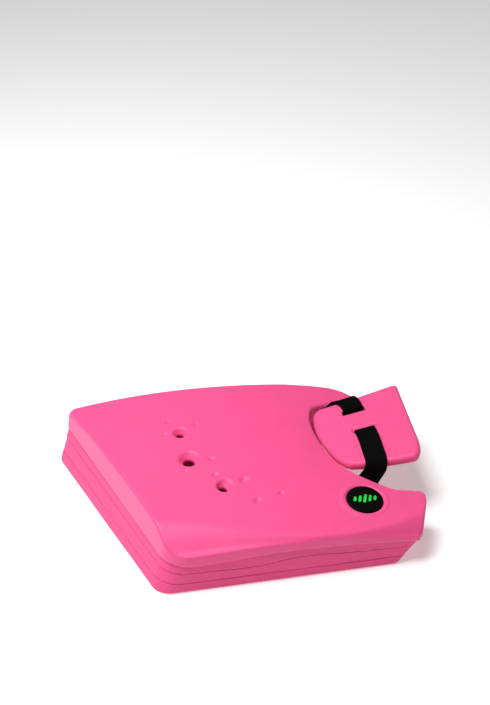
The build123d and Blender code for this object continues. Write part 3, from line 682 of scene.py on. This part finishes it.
def strap_mesh(name, stations, material):
    """Webbing through stations of (centre, width direction, face direction), in millimetres."""
    centres = smooth_outline([s[0] for s in stations], steps=24)
    across = unit(smooth_outline([s[1] for s in stations], steps=24))
    upward = smooth_outline([s[2] for s in stations], steps=24)
    run = np.concatenate([[0], np.cumsum(np.linalg.norm(np.diff(centres, axis=0), axis=1))])
    marks = np.linspace(0, run[-1], max(8, int(run[-1] / STRAP_STEP)))
    centres, across, upward = (
        np.stack([np.interp(marks, run, rows[:, k]) for k in range(3)], 1)
        for rows in (centres, across, upward)
    )
    across = unit(across)
    upward = unit(upward - (upward * across).sum(1, keepdims=True) * across)
    ring = strap_section()
    sideways = across[:, None] * ring[None, :, :1]
    points = (centres[:, None] + sideways + upward[:, None] * ring[None, :, 1:]).reshape(-1, 3)
    n, m = len(ring), len(marks)
    i, j = np.meshgrid(np.arange(m - 1), np.arange(n), indexing="ij")
    k = (j + 1) % n
    faces = np.stack([i * n + j, i * n + k, (i + 1) * n + k, (i + 1) * n + j], -1).reshape(-1, 4)
    half = n // 2
    caps = []
    for base, flip in ((0, False), ((m - 1) * n, True)):
        for a in range(half - 1):
            quad = [base + a, base + a + 1, base + n - 2 - a, base + n - 1 - a]
            caps.append(quad if flip else quad[::-1])
    piece = add_mesh(name, points, np.vstack([faces, caps]), material)
    weave_map(piece, marks, ring)
    return piece


def strap_section():
    """Cross-section of webbing with rounded selvedges, listed all the way round."""
    half, selvedge = STRAP_WIDTH / 2, 0.9
    middle = np.linspace(-half + 2 * selvedge, half - 2 * selvedge, 7)
    side = np.concatenate([
        [-half, -half + 0.35, -half + selvedge], middle, [half - selvedge, half - 0.35, half],
    ])
    edge = np.clip((half - np.abs(side)) / selvedge, 0, 1)
    rise = STRAP_THICK / 2 * np.sqrt(1 - (1 - edge) ** 2) * 0.97
    rise = np.maximum(rise, 0.25)
    top = np.stack([side, rise], 1)
    bottom = np.stack([side[::-1], -rise[::-1]], 1)
    return np.vstack([top, bottom])


def weave_map(piece, marks, ring):
    """UV map in millimetres: across the webbing, then along it."""
    layer = piece.data.uv_layers.new(name="weave")
    vertex = np.empty(len(piece.data.loops), np.int32)
    piece.data.loops.foreach_get("vertex_index", vertex)
    uv = np.stack([ring[vertex % len(ring), 0], marks[vertex // len(ring)]], 1)
    layer.data.foreach_set("uv", uv.astype(np.float32).ravel())


def on_guard(u, v, w, across_way, face_way):
    """A station in the guard's frame."""
    place, across, face, origin = guard_to_world([(u, v, w), across_way, face_way, (0, 0, 0)])
    return place, across - origin, face - origin


def add_strap(name, stations, body=None, material=WEBBING):
    """Webbing that stands for the CAD node of the same name."""
    piece = strap_mesh(name + "_webbing", stations, material)
    if body:
        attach(piece, body)
    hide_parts(name)
    return piece


def flat_path(x, path):
    """Stations for webbing along (y, z) corners, bent round each with one radius."""
    corners = [np.array(p, float) for p in path]
    places = []
    for index, corner in enumerate(corners):
        if index in (0, len(corners) - 1):
            places.append(corner)
            continue
        before = unit((corners[index - 1] - corner)[None])[0]
        after = unit((corners[index + 1] - corner)[None])[0]
        half = math.acos(max(-1.0, min(1.0, float(before @ after)))) / 2
        trim = STRAP_BEND / math.tan(half)
        first, last = corner + before * trim, corner + after * trim
        middle = corner + unit((before + after)[None])[0] * (STRAP_BEND / math.sin(half) - STRAP_BEND)
        places += [first, middle, last]
    places = spread(places)
    stations = []
    for index, place in enumerate(places):
        ahead = places[min(index + 1, len(places) - 1)] - places[max(index - 1, 0)]
        ahead = ahead / np.linalg.norm(ahead)
        stations.append(((x, place[0], place[1]), (1, 0, 0), (0, -ahead[1], ahead[0])))
    return stations


def spread(places, most=9.0):
    """The same corners with extra points on the long runs."""
    out = [places[0]]
    for a, b in zip(places[:-1], places[1:]):
        count = max(1, int(np.linalg.norm(b - a) / most))
        out += [a + (b - a) * (k + 1) / count for k in range(count)]
    return out


def build_wrist_strap():
    """The elastic strap: under the guard, up through both slots, and down to the cavity walls."""
    near_u, near_v = SLOTS[0]
    far_u, far_v = SLOTS[1]
    under = -GUARD_THICK - 1.4
    side, up = (1, 0, 0), (0, 0, 1)
    run = [
        on_guard(near_u, near_v, -0.8, side, (0, -1, 0)),
        on_guard(near_u, near_v, under + 3.0, side, (0, -1, 0)),
        on_guard(near_u, near_v + 1.0, under + 0.5, side, (0, -1, -1)),
        on_guard(near_u, near_v + 3.4, under, side, (0, 0, -1)),
        on_guard((near_u + far_u) / 2, (near_v + far_v) / 2, under, side, (0, 0, -1)),
        on_guard(far_u, far_v - 3.4, under, side, (0, 0, -1)),
        on_guard(far_u, far_v - 1.0, under + 0.5, side, (0, 1, -1)),
        on_guard(far_u, far_v, under + 3.0, side, (0, 1, 0)),
        on_guard(far_u, far_v, -0.8, side, (0, 1, 0)),
    ]
    add_strap("guard_strap_run", run, "wrist_guard")
    near = [
        on_guard(near_u, near_v, -0.9, side, (0, 1, 0)),
        on_guard(near_u, near_v - 0.6, 0.9, side, (0, 1, 0.8)),
        on_guard(near_u, near_v - 3.2, 2.1, (1, -0.02, 0), (0, 0.2, 1)),
        on_guard(near_u + 0.2, near_v - 18, 3.0, side, up),
        on_guard(near_u - 0.8, near_v - 36, 2.6, (1, -0.02, 0), up),
        on_guard(near_u - 1.4, -32.0, 2.0, (1, -0.1, 0), (0, -0.25, 1)),
        ((122.3, -37.6, 63.4), (0.95, -0.28, 0.06), (-0.3, -0.95, 0.9)),
        ((121.2, -39.4, 58.0), (0.94, -0.34, 0), (-0.35, -0.94, 0.1)),
        ((115.6, -38.8, 47.0), (0.85, -0.53, 0), (-0.53, -0.85, 0)),
        ((113.4, -38.0, 38.0), (0.85, -0.53, 0), (-0.53, -0.85, 0)),
        ((113.6, -38.4, 30.5), (0.86, -0.5, 0), (-0.5, -0.86, 0.2)),
        ((114.4, -42.0, 26.3), (0.94, -0.34, 0), (-0.2, -0.5, 1)),
        ((116.0, -56.0, 24.4), (1, 0, 0), (0, -0.05, 1)),
        ((117.0, -69.5, 22.6), (1, 0, 0), (0, -0.3, 1)),
        ((117.0, -72.6, 19.5), (1, 0, 0), (0, -1, 0.2)),
        ((117.0, -73.0, 13.0), (1, 0, 0), (0, -1, 0)),
        ((117.0, -73.0, 7.0), (1, 0, 0), (0, -1, 0)),
    ]
    strap = add_strap("wrist_strap_near", near)
    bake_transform(strap)
    far = [
        on_guard(far_u, far_v, -0.9, side, (0, -1, 0)),
        on_guard(far_u, far_v + 0.6, 0.9, side, (0, -1, 0.8)),
        on_guard(far_u - 0.2, far_v + 3.0, 2.3, side, (0, -0.2, 1)),
        on_guard(far_u - 1.2, far_v + 8.5, 3.2, (1, 0.1, 0), up),
        on_guard(far_u - 3.6, far_v + 14.5, 2.8, (0.97, 0.2, 0), (0, 0.2, 1)),
        on_guard(far_u - 6.6, 68.4, 0.6, (0.95, 0.16, -0.16), (0, 1, 0.8)),
        on_guard(far_u - 10.0, 70.2, -4.2, (0.92, 0.05, -0.38), (0, 1, 0.1)),
        ((108.0, 71.8, 48.5), (0.94, 0.03, -0.34), (0, 1, 0)),
        ((106.6, 72.4, 40.0), (0.98, 0, -0.15), (0, 1, 0)),
        ((106.0, 74.4, 32.0), (1, 0, 0), (0, 1, 0)),
        ((106.0, 75.0, 18.0), (1, 0, 0), (0, 1, 0)),
        ((106.0, 75.0, 7.0), (1, 0, 0), (0, 1, 0)),
    ]
    strap = add_strap("wrist_strap_far", far)
    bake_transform(strap)


def build_palm_straps():
    """Straps across the palm side, and the hook tab."""
    near, far = CAVITY_NEAR_Y + 1, CAVITY_FAR_Y - 1
    finger = [(near, STRAP_TAIL), (near, STRAP_LEVEL), (far, STRAP_LEVEL), (far, STRAP_TAIL)]
    add_strap("finger_strap", flat_path(FINGER_STRAP_X, finger), "block")
    loop = [(far, 22), (far, 5), (49, 5), (49, 26.5), (far - 2.1, 26.5), (far - 2.1, 11)]
    add_strap("thumb_loop", flat_path(THUMB_LOOP_X, loop), "block")
    turn = RING_NEAR_BAR + RING_TURN
    hand = [(near, STRAP_TAIL), (near, STRAP_LEVEL), (turn, STRAP_LEVEL), (turn, TAB_LEVEL)]
    add_strap("hand_strap", flat_path(HAND_STRAP_X, hand + [(RING_NEAR_BAR, TAB_LEVEL)]), "block")
    turn = RING_FAR_BAR - RING_TURN
    tie = [(far, STRAP_TAIL), (far, STRAP_LEVEL), (turn, STRAP_LEVEL), (turn, TAB_LEVEL)]
    add_strap("ring_strap", flat_path(HAND_STRAP_X, tie + [(RING_FAR_BAR + 12, TAB_LEVEL)]), "block")
    tab = [((HAND_STRAP_X, y, TAB_LEVEL), (1, 0, 0), (0, 0, 1)) for y in np.linspace(*TAB_Y, 8)]
    add_strap("hand_strap_tab", tab, "hand_strap_tab", HOOK_TAPE)


def pad_field(x, y, z):
    """The lined pad on the roof of the hand cavity: crowned, with sewn channels."""
    edge = round_max(cavity_field(x, y) + PAD_INSET, x - PAD_WRIST_X, PAD_CORNER_R)
    inner = np.maximum(0, -edge)
    along = (x + CHANNEL_LEAN * y + 500) % CHANNEL_PITCH - CHANNEL_PITCH / 2
    channel = np.exp(-(along / CHANNEL_WIDTH) ** 2)
    swell = PAD_SWELL * (1 - np.exp(-inner / PAD_SLOPE)) * (1 - CHANNEL_DEPTH * channel)
    under = face_seam(x, y) - PAD_THICK - swell - z
    return round_max(round_max(edge, under, 1.2), z - face_seam(x, y) + 0.1, 0.5)


def build_pad():
    """The pad that the back of the hand lies against."""
    low, high = (-132, -74, 26), (72, 76, 46)
    pad = add_foam("hand_pad", pad_field, low, high, (1.6, 1.6, 1.0), LINING)


# ---------------------------------------------------------------- carried-over CAD pieces
def dress_nodes():
    """Materials for the CAD pieces that are shown as they are."""
    looks = {
        "badge_plate": BADGE_BLACK, "badge_emblem": EMBLEM, "strap_ring": BLACK_PLASTIC,
        "palm_anchor_plates": BLACK_PLASTIC, "wrist_anchor_plates": BLACK_PLASTIC,
        "palm_rivets": RIVET_METAL, "wrist_rivets": RIVET_METAL,
    }
    for name, material in looks.items():
        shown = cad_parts[name]
        for place in shown.material_slots:
            place.material = material


# ---------------------------------------------------------------- floor, light and camera
def build_floor():
    """A plain pale floor, far larger than the object."""
    material, _, shader = new_material("floor")
    shader.inputs["Base Color"].default_value = (0.85, 0.85, 0.85, 1)
    shader.inputs["Roughness"].default_value = 0.9
    shader.inputs["Emission Color"].default_value = (1, 1, 1, 1)
    shader.inputs["Emission Strength"].default_value = 0.35
    mesh = bpy.data.meshes.new("floor")
    corners = [(FLOOR_HALF * sx, FLOOR_HALF * sy, 0) for sx, sy in ((-1, -1), (1, -1), (1, 1), (-1, 1))]
    mesh.from_pydata(corners, [], [(0, 1, 2, 3)])
    mesh.materials.append(material)
    floor = bpy.data.objects.new("floor", mesh)
    floor.location.z = -FLOOR_DROP
    bpy.context.scene.collection.objects.link(floor)


def area_light(name, place, target, size, power):
    """A soft square white light that points at a target."""
    data = bpy.data.lights.new(name, "AREA")
    data.size = size
    data.energy = power
    light = bpy.data.objects.new(name, data)
    light.location = place
    light.rotation_euler = (Vector(target) - Vector(place)).to_track_quat("-Z", "Y").to_euler()
    bpy.context.scene.collection.objects.link(light)


def build_lights():
    """Soft studio light from the left, with a pale surround."""
    middle = (0, 0, 0.03)
    area_light("key", (-0.42, -0.05, 1.25), middle, size=0.75, power=24.0)
    area_light("side", (-1.9, -0.3, 0.75), middle, size=1.0, power=2.0)
    world = bpy.data.worlds.new("surround")
    world.use_nodes = True
    world.node_tree.nodes["Background"].inputs["Color"].default_value = (1, 1, 1, 1)
    world.node_tree.nodes["Background"].inputs["Strength"].default_value = 0.12
    bpy.context.scene.world = world
    bpy.context.scene.view_settings.view_transform = "Standard"


def build_camera():
    """The camera, with the photographed view."""
    data = bpy.data.cameras.new("camera")
    data.lens = CAMERA_LENS
    data.sensor_width = SENSOR
    camera = bpy.data.objects.new("camera", data)
    camera.location = CAMERA_PLACE
    camera.rotation_euler = CAMERA_TURN
    bpy.context.scene.collection.objects.link(camera)
    bpy.context.scene.camera = camera


build_foam()
build_wrist_strap()
build_palm_straps()
build_pad()
dress_nodes()
build_floor()
build_lights()
build_camera()
